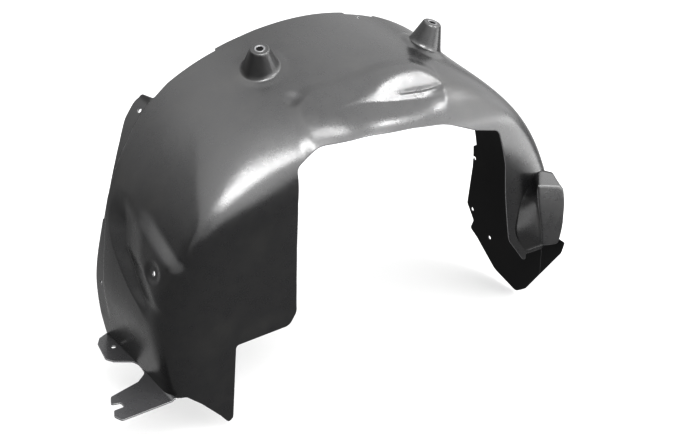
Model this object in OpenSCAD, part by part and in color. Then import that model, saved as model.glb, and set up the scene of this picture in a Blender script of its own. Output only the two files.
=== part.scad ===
// Wheel arch liner: one thin formed sheet that lines the wheel well.
// Lengths in millimetres. The shape is laid out about the wheel centre:
// X runs along the car, Y across it (+Y towards the outer panel), Z up.

/* [Sheet] */
// Radius of the arch at its outer edge
arch_r = 357; // [330:1:385]
// Thickness of the sheet
sheet_t = 2.5; // [2:0.1:3.5]

/* [Spacer cones] */
// Diameter of a cone where it meets the sheet
cone_base_d = 56; // [50:1:60]
// Diameter of a cone at its top
cone_top_d = 28; // [24:1:32]
// Diameter of the fixing hole in a cone's top
cone_bore_d = 9; // [6:0.5:11]
// Height of the cone on the left of the crown
cone_a_h = 34; // [28:1:40]
// Height of the cone on the right of the crown
cone_b_h = 42; // [34:1:46]

/* [Fixing holes] */
// Diameter of the round fixing holes in the sheet
hole_d = 7; // [5:0.5:9]

/* [Formed details] */
// Depth of the step under the flat panel of the long leg
ledge_depth = 10; // [6:1:14]
// Height of the raised field next to the top of the opening
field_height = 3.6; // [1:0.2:5]
// Depth of the dimple round the leg's fixing hole
dimple_depth = 3; // [1:0.5:5]

/* [Hidden] */

// ---- helper functions ----
// ramp that starts at zero, with its corner rounded over 2*w
function sr(x, w) = x <= -w ? 0 : x >= w ? x : (x + w) * (x + w) / (4 * w);
// rises from 0 to 1 between a and b
function rise(x, a, b, w) = (sr(x - a, w) - sr(x - b, w)) / (b - a);
function bump(x, w) = abs(x) >= w ? 0 : pow(1 - (x / w) * (x / w), 2);
function smooth01(x) = let (c = max(0, min(1, x))) c * c * (3 - 2 * c);
// 0 up to a, then one for one up to b
function climb(v, a, b, wa, wb) = sr(v - a, wa) - sr(v - b, wb);

// ---- section lines ----
// Each line runs round the arch. A row is [station, Y, depth]: the station is
// the angle in degrees about the wheel centre, carried on at the same spacing
// down each leg, and the depth is measured inwards from the arch radius.
LINES = [
 [[-40,124,5],[-5,122,5],[15,114,4],[25,112,2],[35,113,0],[55,115,1],[75,115,3],[95,116,2],[105,118,0],[115,130,-4],[122,145,-6],[130,172,-6],[142,176,-3],[150,142,0],[158,118,4],[165,115,5],[172,116,4],[180,118,2],[190,116,8],[195,118,20],[210,118,22]],
 [[-40,72,5],[0,70,5],[20,72,3],[35,75,1],[55,75,4],[75,75,9],[95,75,9],[115,80,5],[125,82,1],[135,84,-1],[155,82,1],[180,80,2],[190,80,12],[195,80,21],[210,80,22]],
 [[-40,30,5],[20,30,3],[35,30,3],[55,30,8],[75,30,19],[85,30,22],[105,30,20],[115,30,15],[125,30,8],[135,30,4],[145,30,2],[180,38,4],[195,38,22],[210,38,22]],
 [[-40,-20,5],[20,-20,4],[35,-20,3],[50,-16,7],[65,-10,20],[75,-10,30],[85,-10,34],[105,-14,33],[115,-20,27],[125,-20,17],[135,-20,8],[145,-20,4],[180,0,5],[195,0,22],[210,0,22]],
 [[-40,-78,5],[5,-78,5],[20,-76,6],[35,-74,4],[45,-70,7],[55,-62,18],[65,-50,34],[75,-45,44],[85,-40,48],[95,-40,48],[105,-58,48],[115,-66,42],[125,-64,31],[135,-66,16],[145,-60,5],[155,-58,4],[165,-45,6],[180,-40,7],[195,-45,22],[210,-45,22]],
 [[-40,-112,5],[5,-110,6],[20,-107,13],[35,-105,14],[45,-102,24],[55,-94,44],[65,-88,58],[75,-85,63],[85,-80,66],[95,-80,65],[105,-100,62],[115,-106,66],[125,-100,58],[135,-102,41],[145,-103,10],[155,-108,9],[162,-82,9],[180,-78,9],[195,-88,22],[210,-88,22]],
 [[-40,-110,50],[20,-112,46],[35,-114,50],[45,-114,60],[55,-111,76],[65,-112,82],[85,-115,83],[95,-115,80],[105,-122,80],[115,-121,96],[125,-117,92],[135,-117,78],[145,-113,46],[155,-109,46],[165,-98,50],[180,-95,52],[195,-94,60],[210,-94,60]],
 [[-40,-106,90],[20,-108,86],[35,-114,88],[45,-118,90],[55,-118,100],[75,-128,104],[95,-130,100],[105,-132,98],[115,-122,116],[125,-119,135],[135,-119,130],[145,-112,112],[160,-100,115],[180,-95,120],[210,-94,120]],
 [[-40,-98,135],[5,-98,135],[20,-100,125],[45,-114,120],[55,-118,125],[75,-135,126],[95,-140,120],[105,-140,118],[115,-122,136],[125,-112,170],[135,-110,195],[145,-106,222],[155,-99,240],[180,-95,250],[210,-94,250]]
];
NL = len(LINES);
Q0 = -50; Q1 = 220; DQ = 10;
YT = [for (c = LINES) [for (p = c) [p[0], p[1]]]];
HT = [for (c = LINES) [for (p = c) [p[0], p[2]]]];
function line_at(j, q) = [lookup(q, YT[j]), lookup(q, HT[j])];
NET = [for (q = [Q0:DQ:Q1]) concat([2 * line_at(0, q) - line_at(1, q)],
    [for (j = [0:NL-1]) line_at(j, q)], [2 * line_at(NL-1, q) - line_at(NL-2, q)])];
NQ = len(NET);
function bw(f) = [pow(1-f, 3)/6, (3*pow(f, 3) - 6*f*f + 4)/6, (-3*pow(f, 3) + 3*f*f + 3*f + 1)/6, pow(f, 3)/6];
// smooth section: [Y, depth] at station q and place t across the sheet
function base_yh(q, t) =
    let (fi = (q - Q0)/DQ, i = max(1, min(floor(fi), NQ-3)), f = fi - i,
         j = max(0, min(floor(t), NL-2)), g = t - j, a = bw(f), b = bw(g))
    a * [for (m = [0:3]) b * [for (n = [0:3]) NET[i-1+m][j+n]]];

// ---- formed details, as extra depth ----
// upper edge of the flat panel on the long leg, as a station at each Y
PANEL_TOP = [[-115,150],[-102,148.2],[-86,144],[-57,139.7],[-20,134],[22,129.6],[45,129],[79,132.4],[90,133.6],[105,135.9],[115,139.1],[119,146],[125,150]];
LEDGE_D = [[-114,0],[-108,0.08],[-98,0.4],[-85,0.8],[-62,1],[-23,0.85],[7,0.6],[42,0.28],[65,0.15],[105,0.12],[125,0]];
LEDGE_Q = [[-115,157.6],[-98,156.9],[-85,156],[-62,154.9],[-23,153.2],[7,151.8],[42,151.5],[65,151.8],[125,152]];
LEDGE_W = [[-115,2.6],[-98,2.9],[-62,3.4],[-23,3.5],[7,3.8],[42,6],[65,9],[125,12]];
function panel(q, y) =
    let (a = lookup(y, PANEL_TOP), b = lookup(y, LEDGE_Q), w = lookup(y, LEDGE_W), d = ledge_depth * lookup(y, LEDGE_D))
    d * rise(q, a, max(b, a + 3), 0.8) * (1 - rise(q, b, b + w, 0.8));
// long hollow down the leg: its outer and inner edge, as Y at each station
CRES_A = [[148,-112],[158.8,-97],[163.6,-72],[167.6,-39],[171.2,-4],[173.2,21],[175.6,41],[180,60]];
CRES_B = [[148,-78],[152.8,-71],[157.6,-62],[162,-48],[165.2,-24],[168.8,4],[172,32],[175.6,52],[180,64]];
function crescent(q, y) =
    let (a = lookup(q, CRES_A), b = lookup(q, CRES_B), w = smooth01((q - 151) / 7) * (1 - smooth01((q - 169.5) / 7)))
    w * 0.27 * (climb(-y, a, b, 2.5, 4) - (b - a) * rise(-y, b + 2, b + 62, 10));
function dimple(q, y) = dimple_depth * smooth01((20 - norm([(q - 162.4) * 6.2, (y + 47) * 0.9])) / 12);
// step down to the flange along the outer edge of the long leg
STEP_Y = [[120,134],[131.2,133],[137.6,129],[142.4,124],[146.8,121],[153.2,116],[158.4,110],[162.4,99],[167.6,90],[176.4,85],[190,84]];
STEP_D = [[126,0],[129.5,2],[132,7],[150,6.5],[158,4.5],[168,3],[178,2],[188,0]];
function border(q, y) = lookup(q, STEP_D) * smooth01((y - lookup(q, STEP_Y)) / 5.5);
// raised field along the top of the opening: its outer edge, as Y at each station
FIELD_Y = [[60,-60],[65,-32],[70,-18],[78,-20],[93,-26],[101,-22],[105,-29],[109,-42],[113,-80],[117,-105]];
function field(q, y) =
    let (c = lookup(q, FIELD_Y))
    2.4 * bump(norm([(q - 106.2) * 5.5, y + 33]), 17)
    - field_height * (1 - rise(y, c - 17, c, 2.5)) * (1 - rise(q + (y + 40) / 14, 106, 109.5, 0.8)) * rise(q, 60, 70, 2);
// pressed-out place beside the opening: upper and lower edge, as -Y at each station
BULGE_A = [[58,72],[62.2,71.5],[62.8,69],[64,61],[66,52],[69.6,45],[75.2,48],[80.8,56],[84.8,65],[89,72],[93.5,76],[99,78]];
BULGE_B = [[58,72],[62.2,71.5],[64,74],[68,78],[74.8,81],[82,82],[87.2,80.5],[93.5,78.8],[99,78]];
function bulge(q, y) =
    let (v = -y, a = lookup(q, BULGE_A), b = lookup(q, BULGE_B), g = max(0, min(1, (b - a) / 45)))
    0.42 * climb(v, a, b, 1.2 + 5 * smooth01((b - a) / 14), 1.2) - g * (0.1 * climb(v, -25, 47, 15, 15) + 0.2 * climb(v, b, b + 30, 2, 6));
function depth_extra(q, y) = panel(q, y) + (q > 126 ? crescent(q, y) + dimple(q, y) + border(q, y) : 0)
    + (q > 58 && q < 118 ? field(q, y) + bulge(q, y) : 0);

function place(q, y, h) =
    let (r = arch_r - h, d = (q > 180 ? q - 180 : q) * PI / 180 * arch_r)
    q > 180 ? [-r, y, -d] : q < 0 ? [r, y, d] : [r * cos(q), y, r * sin(q)];
function outer(q, t) = let (s = base_yh(q, t)) place(q, s[0], s[1] + depth_extra(q, s[0]));
function unit(v) = v / norm(v);
function outward(q, t) =
    let (e = 0.02, du = outer(q + 0.2, t) - outer(q - 0.2, t), dv = outer(q, min(t + e, NL-1)) - outer(q, max(t - e, 0)))
    unit(cross(du, dv));

// ---- the sheet ----
QS = concat([for (q = [-30:5:55]) q], [for (q = [58:3:118]) q], [120], [for (q = [122.5:2.5:165]) q], [for (q = [170:5:205]) q]);
TS = [for (t = [0:1/3:NL-1-0.01]) t];
TE = concat(TS, [NL-1]);

module sheet() {
    n = len(QS); m = len(TE);
    po = [for (q = QS) for (t = TE) outer(q, t)];
    pi = [for (q = QS) for (t = TE) outer(q, t) - sheet_t * outward(q, t)];
    o = n * m;
    top = [for (i = [0:n-2]) for (j = [0:m-2]) each
        let (a = i*m + j, b = a + 1, c = a + m, d = c + 1) [[a, b, c], [b, d, c]]];
    bot = [for (f = top) [f[2] + o, f[1] + o, f[0] + o]];
    s1 = [for (j = [0:m-2]) each [[j+1, j, o+j], [o+j+1, j+1, o+j]]];
    s2 = [for (j = [0:m-2]) each let (k = (n-1)*m + j) [[k, k+1, o+k+1], [o+k, k, o+k+1]]];
    s3 = [for (i = [0:n-2]) each let (k = i*m, l = k+m) [[k, l, o+l], [o+k, k, o+l]]];
    s4 = [for (i = [0:n-2]) each let (k = i*m+m-1, l = k+m) [[l, k, o+k], [o+l, l, o+k]]];
    polyhedron(points = concat(po, pi), faces = concat(top, bot, s1, s2, s3, s4), convexity = 10);
}

// ---- outlines ----
// polygon with its corners rounded: each point is [x, y, radius]
function corner(p, c, n) =
    let (u = unit([p[0]-c[0], p[1]-c[1]]), v = unit([n[0]-c[0], n[1]-c[1]]),
         k = max(-0.999, min(0.999, u*v)), a = acos(k) / 2, l = c[2] / tan(a))
    c[2] <= 0 || a > 88 ? [[c[0], c[1]]] :
    let (m = [c[0], c[1]] + unit(u + v) * c[2] / sin(a), s = [c[0], c[1]] + u*l - m, e = [c[0], c[1]] + v*l - m,
         w = 180 - 2*a, g = sign(s[0]*e[1] - s[1]*e[0]), n = max(3, ceil(w / 18)))
    [for (i = [0:n]) let (b = g*w*i/n) m + [s[0]*cos(b) - s[1]*sin(b), s[0]*sin(b) + s[1]*cos(b)]];
function rounded(p) = let (n = len(p)) [for (i = [0:n-1]) each corner(p[(i+n-1)%n], p[i], p[(i+1)%n])];

// side opening and lower edge of both side walls, as X and Z
OPENING = [[-600,-94.5,0],[-338,-94.5,0],[-314,-94.5,8],[-292,-114,60],[-262,-148,20],[-249,-166,7],[-241,-160,7],
    [-231,-32,6],[-140,-30,14],[-127,-10,20],[-128,40,0],[-133,110,60],[-135,190,0],[-132,243,14],[-97,267,40],[-20,268,200],[60,256,300],[125,241,100],[180,214,60],[224,200,14],[242,134,60],[249,82,100],
    [262,-12,30],[292,-58,8],[344,-42,0],[344,-600,0],[-600,-600,0]];
// outer and lower edge of the short leg, as Y and Z
SHORT_LEG = [[113,230,0],[106,160,60],[99,90,60],[98,44,3],[107,38,3],[109,-4,0],[119,-80,4],[99,-106,5],[107,-125,5],[88,-134,12],[34,-172,40],[-26,-184,14],[-50,-166,20],[-132,-52,8],[-139,-28,3],[-200,-28,0],[-200,-400,0],[240,-400,0],[240,230,0]];
// fixing ear on the outer edge, in its own plane
EAR = [[230,122,0],[200,119,0],[188,119,0],[151,123,0],[149,119,0],[108,125,0],[70,131,0],[40,131,4],[33,165,8],[18,171,16],[-12,166,30],[-44,149,30],[-72,137,40],[-110,124,60],[-150,116,0],[-150,300,0],[230,300,0]];
EAR_Q = 136;

// tabs at the foot of the long leg, as X and Y
TABS = [[-332,122,0],[-335,122,2],[-358,113,4],[-367,100,6],[-374,58,10],[-366,46,5],[-342,30,6],[-337,16,14],[-340,-6,14],[-358,-20,10],[-408,-31,5],[-416,-48,3],
    [-402,-52,2],[-402,-63,2],[-418,-63,3],[-424,-76,7],[-418,-90,6],[-336,-89,2],[-332,-89,0]];

// cones: foot on the sheet and direction
CONE_A = [-97, 44, 328]; DIR_A = unit([-0.14, -0.2, 0.97]);
CONE_B = [183, 31, 294]; DIR_B = unit([0.28, -0.13, 0.95]);
TOP_A = CONE_A + cone_a_h * DIR_A;

module along(p, v) translate(p) rotate([0, acos(v[2]), atan2(v[1], v[0])]) children();
module cone_out(h) {
    k = (cone_base_d - cone_top_d) / 2 / h;
    translate([0, 0, -4]) cylinder(h = h + 4, r1 = cone_base_d/2 + 4*k, r2 = cone_top_d/2, $fn = 72);
}
module cone_in(h) {
    k = (cone_base_d - cone_top_d) / 2 / h;
    translate([0, 0, -12]) cylinder(h = h + 12 - sheet_t, r1 = cone_base_d/2 + 12*k - sheet_t, r2 = cone_top_d/2 + sheet_t*k - sheet_t, $fn = 72);
    translate([0, 0, -1]) cylinder(h = h + 10, d = cone_bore_d, $fn = 48);
}
module hole_x(p) translate(p) rotate([0, 90, 0]) cylinder(h = 40, d = hole_d, center = true, $fn = 32);
module sector(a, b, y) rotate([90, 0, 0]) translate([0, 0, -y - 60]) linear_extrude(60)
    polygon([280*[cos(a), sin(a)], 440*[cos(a), sin(a)], 440*[cos((a+b)/2), sin((a+b)/2)], 440*[cos(b), sin(b)], 280*[cos(b), sin(b)]]);

// box-shaped pocket at the foot of the short leg's side wall, as X and Z
POCKET_F = [[288,98],[334,82],[343,74],[348,48],[348,2],[341,-30],[306,-22],[300,24],[292,60]];
POCKET_B = [[312,104],[344,88],[350,76],[351,48],[351,0],[348,-30],[296,-40],[272,20],[276,66]];
HOLLOW_F = [[292,93],[332,79],[340,72],[344.5,48],[344.5,2],[338,-26],[309,-19],[303.5,25],[295.5,60]];
HOLLOW_B = [[302,94],[330,84],[338,74],[343,48],[343,0],[337,-28],[302,-34],[278,20],[282,64]];
module slab(p, y) translate([0, y, 0]) rotate([90, 0, 0]) linear_extrude(0.1, center = true) polygon(p);
module pocket(f, b, yf, yb) hull() { slab(f, yf + 0.05); slab(b, yb - 0.05); }

module wheel_arch_liner() color([0.13, 0.13, 0.135]) translate(-TOP_A) difference() {
    union() {
        difference() {
            union() {
                sheet();
                translate([352 - sheet_t, 0, 0]) rotate([90, 0, 90]) linear_extrude(sheet_t) polygon([[-84, -20], [-139, -20], [-139, -130], [-84, -130]]);
            }
            rotate([90, 0, 0]) linear_extrude(600, center = true) polygon(rounded(OPENING));
            translate([300, 0, 0]) rotate([90, 0, 90]) linear_extrude(120) polygon(rounded(SHORT_LEG));
            rotate([0, 90 - EAR_Q, 0]) translate([0, 0, 290]) linear_extrude(130) polygon(rounded(EAR));
            sector(66.3, 75.4, 110);
        }
        translate([0, 0, -92 - sheet_t]) linear_extrude(sheet_t) polygon(rounded(TABS));
        along(CONE_A, DIR_A) cone_out(cone_a_h);
        along(CONE_B, DIR_B) cone_out(cone_b_h);
        pocket(POCKET_F, POCKET_B, -136, -104);
    }
    along(CONE_A, DIR_A) cone_in(cone_a_h);
    along(CONE_B, DIR_B) cone_in(cone_b_h);
    pocket(HOLLOW_F, HOLLOW_B, -136 + sheet_t, -100);
    hole_x([-335, -47, 104]);
    hole_x([-354, 100, 15]);
    hole_x([352, 104, 15]);
    hole_x([352, 104, -86]);
    hole_x([352, 53, -118]);
    translate([-350, 80, -92]) cylinder(h = 20, d = hole_d, center = true, $fn = 32);
    rotate([0, 90 - EAR_Q, 0]) translate([12, 148, 360]) cylinder(h = 60, d = hole_d, center = true, $fn = 32);
    rotate([0, 90 - 72, 0]) translate([0, 101, 355]) cylinder(h = 60, d = hole_d, center = true, $fn = 32);
}
wheel_arch_liner();
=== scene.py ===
import math
import bpy
import numpy as np
from mathutils import Matrix, Vector
from mathutils.geometry import delaunay_2d_cdt


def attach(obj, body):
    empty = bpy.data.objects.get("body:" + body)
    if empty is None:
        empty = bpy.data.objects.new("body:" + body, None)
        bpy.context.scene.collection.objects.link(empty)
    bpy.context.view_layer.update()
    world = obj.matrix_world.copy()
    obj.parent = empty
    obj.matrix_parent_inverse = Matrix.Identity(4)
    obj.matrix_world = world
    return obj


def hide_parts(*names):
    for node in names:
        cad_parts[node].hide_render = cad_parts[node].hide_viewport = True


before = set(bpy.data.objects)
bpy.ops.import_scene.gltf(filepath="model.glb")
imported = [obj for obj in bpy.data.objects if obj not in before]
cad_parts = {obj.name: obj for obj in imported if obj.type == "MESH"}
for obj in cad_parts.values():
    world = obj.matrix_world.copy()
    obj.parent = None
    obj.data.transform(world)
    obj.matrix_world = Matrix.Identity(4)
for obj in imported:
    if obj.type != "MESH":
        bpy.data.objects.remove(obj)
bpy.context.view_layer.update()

# ------------------------------------------------------------------ numbers
# The shape is laid out in millimetres about the wheel centre (X along the
# car, Y towards the outer panel, Z up) and moved to the row frame at the end.
ARCH_R = 357.0
SHEET_T = 2.5
LEDGE_DEPTH, FIELD_HEIGHT = 10.0, 3.6


def unit(v):
    v = np.asarray(v, float)
    return v / np.linalg.norm(v)


CONES = [
    {"foot": np.array([-97.0, 44.0, 328.0]), "dir": unit([-0.14, -0.2, 0.97]), "h": 34.0, "skirt": 1.2},
    {"foot": np.array([183.0, 31.0, 294.0]), "dir": unit([0.28, -0.13, 0.95]), "h": 42.0, "skirt": 4.0},
]
BASE_R, TOP_R, BORE_R = 28.0, 14.0, 4.5
HOLE_R = 3.5
TOP_A = CONES[0]["foot"] + CONES[0]["h"] * CONES[0]["dir"]

# section lines: [station, Y, depth] rows, from the outer edge to the inboard end
LINES = [
    [[-40,124,5],[-5,122,5],[15,114,4],[25,112,2],[35,113,0],[55,115,1],[75,115,3],[95,116,2],[105,118,0],[115,130,-4],[122,145,-6],[130,172,-6],[142,176,-3],[150,142,0],[158,118,4],[165,115,5],[172,116,4],[180,118,2],[190,116,8],[195,118,20],[210,118,22]],
    [[-40,72,5],[0,70,5],[20,72,3],[35,75,1],[55,75,4],[75,75,9],[95,75,9],[115,80,5],[125,82,1],[135,84,-1],[155,82,1],[180,80,2],[190,80,12],[195,80,21],[210,80,22]],
    [[-40,30,5],[20,30,3],[35,30,3],[55,30,8],[75,30,19],[85,30,22],[105,30,20],[115,30,15],[125,30,8],[135,30,4],[145,30,2],[180,38,4],[195,38,22],[210,38,22]],
    [[-40,-20,5],[20,-20,4],[35,-20,3],[50,-16,7],[65,-10,20],[75,-10,30],[85,-10,34],[105,-14,33],[115,-20,27],[125,-20,17],[135,-20,8],[145,-20,4],[180,0,5],[195,0,22],[210,0,22]],
    [[-40,-78,5],[5,-78,5],[20,-76,6],[35,-74,4],[45,-70,7],[55,-62,18],[65,-50,34],[75,-45,44],[85,-40,48],[95,-40,48],[105,-58,48],[115,-66,42],[125,-64,31],[135,-66,16],[145,-60,5],[155,-58,4],[165,-45,6],[180,-40,7],[195,-45,22],[210,-45,22]],
    [[-40,-112,5],[5,-110,6],[20,-107,13],[35,-105,14],[45,-102,24],[55,-94,44],[65,-88,58],[75,-85,63],[85,-80,66],[95,-80,65],[105,-100,62],[115,-106,66],[125,-100,58],[135,-102,41],[145,-103,10],[155,-108,9],[162,-82,9],[180,-78,9],[195,-88,22],[210,-88,22]],
    [[-40,-110,50],[20,-112,46],[35,-114,50],[45,-114,60],[55,-111,76],[65,-112,82],[85,-115,83],[95,-115,80],[105,-122,80],[115,-121,96],[125,-117,92],[135,-117,78],[145,-113,46],[155,-109,46],[165,-98,50],[180,-95,52],[195,-94,60],[210,-94,60]],
    [[-40,-106,90],[20,-108,86],[35,-114,88],[45,-118,90],[55,-118,100],[75,-128,104],[95,-130,100],[105,-132,98],[115,-122,116],[125,-119,135],[135,-119,130],[145,-112,112],[160,-100,115],[180,-95,120],[210,-94,120]],
    [[-40,-98,135],[5,-98,135],[20,-100,125],[45,-114,120],[55,-118,125],[75,-135,126],[95,-140,120],[105,-140,118],[115,-122,136],[125,-112,170],[135,-110,195],[145,-106,222],[155,-99,240],[180,-95,250],[210,-94,250]],
]
PANEL_TOP = [[-115,150],[-102,148.2],[-86,144],[-57,139.7],[-20,134],[22,129.6],[45,129],[79,132.4],[90,133.6],[105,135.9],[115,139.1],[119,146],[125,150]]
LEDGE_D = [[-114,0],[-108,0.08],[-98,0.4],[-85,0.8],[-62,1],[-23,0.85],[7,0.6],[42,0.28],[65,0.15],[105,0.12],[125,0]]
LEDGE_Q = [[-115,157.6],[-98,156.9],[-85,156],[-62,154.9],[-23,153.2],[7,151.8],[42,151.5],[65,151.8],[125,152]]
LEDGE_W = [[-115,2.6],[-98,2.9],[-62,3.4],[-23,3.5],[7,3.8],[42,6],[65,9],[125,12]]
RECESS_Y = [[60,-60],[65,-32],[70,-18],[78,-20],[93,-26],[101,-22],[105,-29],[109,-42],[113,-80],[117,-105]]

BULGE_A = [[58,72],[62.2,71.5],[62.8,69],[64,61],[66,52],[69.6,45],[75.2,48],[80.8,56],[84.8,65],[89,72],[93.5,76],[99,78]]
BULGE_B = [[58,72],[62.2,71.5],[64,74],[68,78],[74.8,81],[82,82],[87.2,80.5],[93.5,78.8],[99,78]]

CRES_A = [[148,-112],[158.8,-97],[163.6,-72],[167.6,-39],[171.2,-4],[173.2,21],[175.6,41],[180,60]]
CRES_B = [[148,-78],[152.8,-71],[157.6,-62],[162,-48],[165.2,-24],[168.8,4],[172,32],[175.6,52],[180,64]]
STEP_Y = [[120,134],[131.2,133],[137.6,129],[142.4,124],[146.8,121],[153.2,116],[158.4,110],[162.4,99],[167.6,90],[176.4,85],[190,84]]
STEP_D = [[126,0],[129.5,2],[132,7],[150,6.5],[158,4.5],[168,3],[178,2],[188,0]]

OPENING = [[-600,-94.5,0],[-338,-94.5,0],[-314,-94.5,8],[-292,-114,60],[-262,-148,20],[-249,-166,7],[-241,-160,7],
           [-231,-32,6],[-140,-30,14],[-127,-10,20],[-128,40,0],[-133,110,60],[-135,190,0],[-132,243,14],[-97,267,40],[-20,268,200],[60,256,300],[125,241,100],[180,214,60],[224,200,14],[242,134,60],[249,82,100],
           [262,-12,30],[292,-58,8],[344,-42,0],[344,-600,0],[-600,-600,0]]
SHORT_LEG = [[113,230,0],[106,160,60],[99,90,60],[98,44,3],[107,38,3],[109,-4,0],[119,-80,4],[99,-106,5],[107,-125,5],[88,-134,12],[34,-172,40],[-26,-184,14],[-50,-166,20],[-132,-52,8],[-139,-28,3],[-200,-28,0],[-200,-400,0],[240,-400,0],[240,230,0]]
EAR = [[230,122,0],[200,119,0],[188,119,0],[151,123,0],[149,119,0],[108,125,0],[70,131,0],[40,131,4],[33,165,8],[18,171,16],[-12,166,30],[-44,149,30],[-72,137,40],[-110,124,60],[-150,116,0],[-150,300,0],[230,300,0]]
EAR_Q = 136.0
NOTCH = [[-28.3,110,4],[28.3,110,4],[28.3,150,0],[-28.3,150,0]]
TABS = [[-331,122,0],[-335,122,2],[-358,113,4],[-367,100,6],[-374,58,10],[-366,46,5],[-342,30,6],[-337,16,14],[-340,-6,14],[-358,-20,10],[-408,-31,5],[-416,-48,3],
        [-402,-52,2.5],[-402,-63,2.5],[-418,-63,3],[-424,-76,7],[-418,-90,6],[-336,-89,2],[-331,-89,0]]
POCKET_F = [[288,98],[334,82],[343,74],[348,48],[348,2],[341,-30],[306,-22],[300,24],[292,60]]
POCKET_B = [[312,104],[344,88],[350,76],[351,48],[351,0],[348,-30],[294,-46],[270,-4],[276,62]]


# ------------------------------------------------------------------ surface
def table(rows):
    a = np.asarray(rows, float)
    return a[:, 0], a[:, 1:]


def smooth_table(rows):
    """Monotone cubic through the rows, so that creases made from a table run in smooth curves."""
    a = np.asarray(rows, float)
    x, y = a[:, 0], a[:, 1]
    h = np.diff(x)
    d = np.diff(y) / h
    m = np.zeros_like(y)
    m[0], m[-1] = d[0], d[-1]
    for i in range(1, len(x) - 1):
        if d[i - 1] * d[i] > 0:
            w1, w2 = 2 * h[i] + h[i - 1], h[i] + 2 * h[i - 1]
            m[i] = (w1 + w2) / (w1 / d[i - 1] + w2 / d[i])

    def f(q):
        q = np.clip(q, x[0], x[-1])
        i = np.clip(np.searchsorted(x, q, side="right") - 1, 0, len(h) - 1)
        s = (q - x[i]) / h[i]
        return ((1 + 2 * s) * (1 - s) ** 2 * y[i] + s * (1 - s) ** 2 * h[i] * m[i]
                + s * s * (3 - 2 * s) * y[i + 1] + s * s * (s - 1) * h[i] * m[i + 1])
    return f


F_PANEL, F_LD, F_LQ, F_LW, F_REC, F_BULGE_A, F_BULGE_B, F_CRES_A, F_CRES_B, F_STEP_Y, F_STEP_D = [
    smooth_table(r) for r in (PANEL_TOP, LEDGE_D, LEDGE_Q, LEDGE_W, RECESS_Y, BULGE_A, BULGE_B, CRES_A, CRES_B, STEP_Y, STEP_D)]

NL = len(LINES)
Q0, Q1, DQ = -50, 220, 10
QN = np.arange(Q0, Q1 + 1, DQ)
_cols = [np.stack([np.interp(QN, table(c)[0], table(c)[1][:, k]) for k in (0, 1)], 1) for c in LINES]
NET = np.stack([2 * _cols[0] - _cols[1]] + _cols + [2 * _cols[-1] - _cols[-2]], 1)
NQ = len(QN)


def bw(f):
    return [(1 - f) ** 3 / 6, (3 * f ** 3 - 6 * f * f + 4) / 6, (-3 * f ** 3 + 3 * f * f + 3 * f + 1) / 6, f ** 3 / 6]


def base_yh(q, t):
    fi = (q - Q0) / DQ
    i = np.clip(np.floor(fi).astype(int), 1, NQ - 3)
    f = fi - i
    j = np.clip(np.floor(t).astype(int), 0, NL - 2)
    g = t - j
    a, b = bw(f), bw(g)
    s = np.zeros(q.shape + (2,))
    for m in range(4):
        for n in range(4):
            s += (a[m] * b[n])[..., None] * NET[i - 1 + m, j + n]
    return s[..., 0], s[..., 1]


def sr(x, w):
    return np.where(x <= -w, 0.0, np.where(x >= w, x, (x + w) ** 2 / (4 * w)))


def rise(x, a, b, w):
    return (sr(x - a, w) - sr(x - b, w)) / (b - a)


def bump(x, w):
    return np.where(np.abs(x) >= w, 0.0, (1 - (x / w) ** 2) ** 2)


def smooth01(x):
    x = np.clip(x, 0, 1)
    return x * x * (3 - 2 * x)


def panel(q, y):
    a, b, w, d = F_PANEL(y), F_LQ(y), F_LW(y), LEDGE_DEPTH * F_LD(y)
    b2 = np.maximum(b, a + 3)
    return d * rise(q, a, b2, 0.8) * (1 - rise(q, b, b + w, 0.8))


def crescent(q, y):
    """The long hollow down the leg: a slope along its outer side that runs out gently inboard."""
    a, b = F_CRES_A(q), F_CRES_B(q)
    w = smooth01((q - 151) / 7) * (1 - smooth01((q - 169.5) / 7))
    d = 0.27 * (b - a)
    e = 0.27 * climb(-y, a, b, 2.5, 4) - d * rise(-y, b + 2, b + 62, 10)
    return w * e


def dimple(q, y):
    u, v = (q - 162.4) * 6.2, y + 47
    return 3.0 * smooth01((20 - np.hypot(u, v * 0.9)) / 12)


def border(q, y):
    """The step down to the flange along the outer edge of the long leg and the ear."""
    return F_STEP_D(q) * smooth01((y - F_STEP_Y(q)) / 5.5)


def field(q, y):
    """The slightly raised field beside the top of the opening, with a soft dent at its corner."""
    c = F_REC(q)
    dent = 2.4 * bump(np.hypot((q - 106.2) * 5.5, y + 33), 17)
    return dent - (FIELD_HEIGHT * (1 - rise(y, c - 17, c, 2.5)) * (1 - rise(q + (y + 40) / 14, 106, 109.5, 0.8))
            * rise(q, 60, 70, 2))


def climb(v, a, b, wa, wb):
    """0 up to a, then one for one up to b, with soft corners."""
    return sr(v - a, wa) - sr(v - b, wb)


def bulge(q, y):
    """The pressed-out place in the recess: level above, steep in the middle, level again below a crisp edge."""
    v = -y
    a, b = F_BULGE_A(q), F_BULGE_B(q)
    g = np.clip((b - a) / 45, 0, 1)
    e = 0.42 * climb(v, a, b, 1.2 + 5 * smooth01((b - a) / 14), 1.2) - g * (0.1 * climb(v, -25, 47, 15, 15) + 0.2 * climb(v, b, b + 30, 2, 6))
    c = 72.5 - 0.055 * (79 - q) * (79 - q) / 4
    fold = 1.5 * bump(v - c, 3.2) * bump(q - 70, 10.5)
    return e + fold - 1.2 * bump(v - c - 6, 7) * bump(q - 70, 12)


def extra(q, y):
    mid = (q > 58) & (q < 118)
    leg = q > 126
    return panel(q, y) + np.where(leg, crescent(q, y) + dimple(q, y) + border(q, y), 0) + np.where(mid, field(q, y) + bulge(q, y), 0)


def place(q, y, h):
    r = ARCH_R - h
    c = np.clip(q, 0, 180) * math.pi / 180
    d = np.where(q > 180, q - 180, np.where(q < 0, q, 0)) * math.pi / 180 * ARCH_R
    x = r * np.cos(c)
    z = r * np.sin(c) + np.where(q > 180, -d, d)
    return np.stack([x, y, z], -1)


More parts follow.
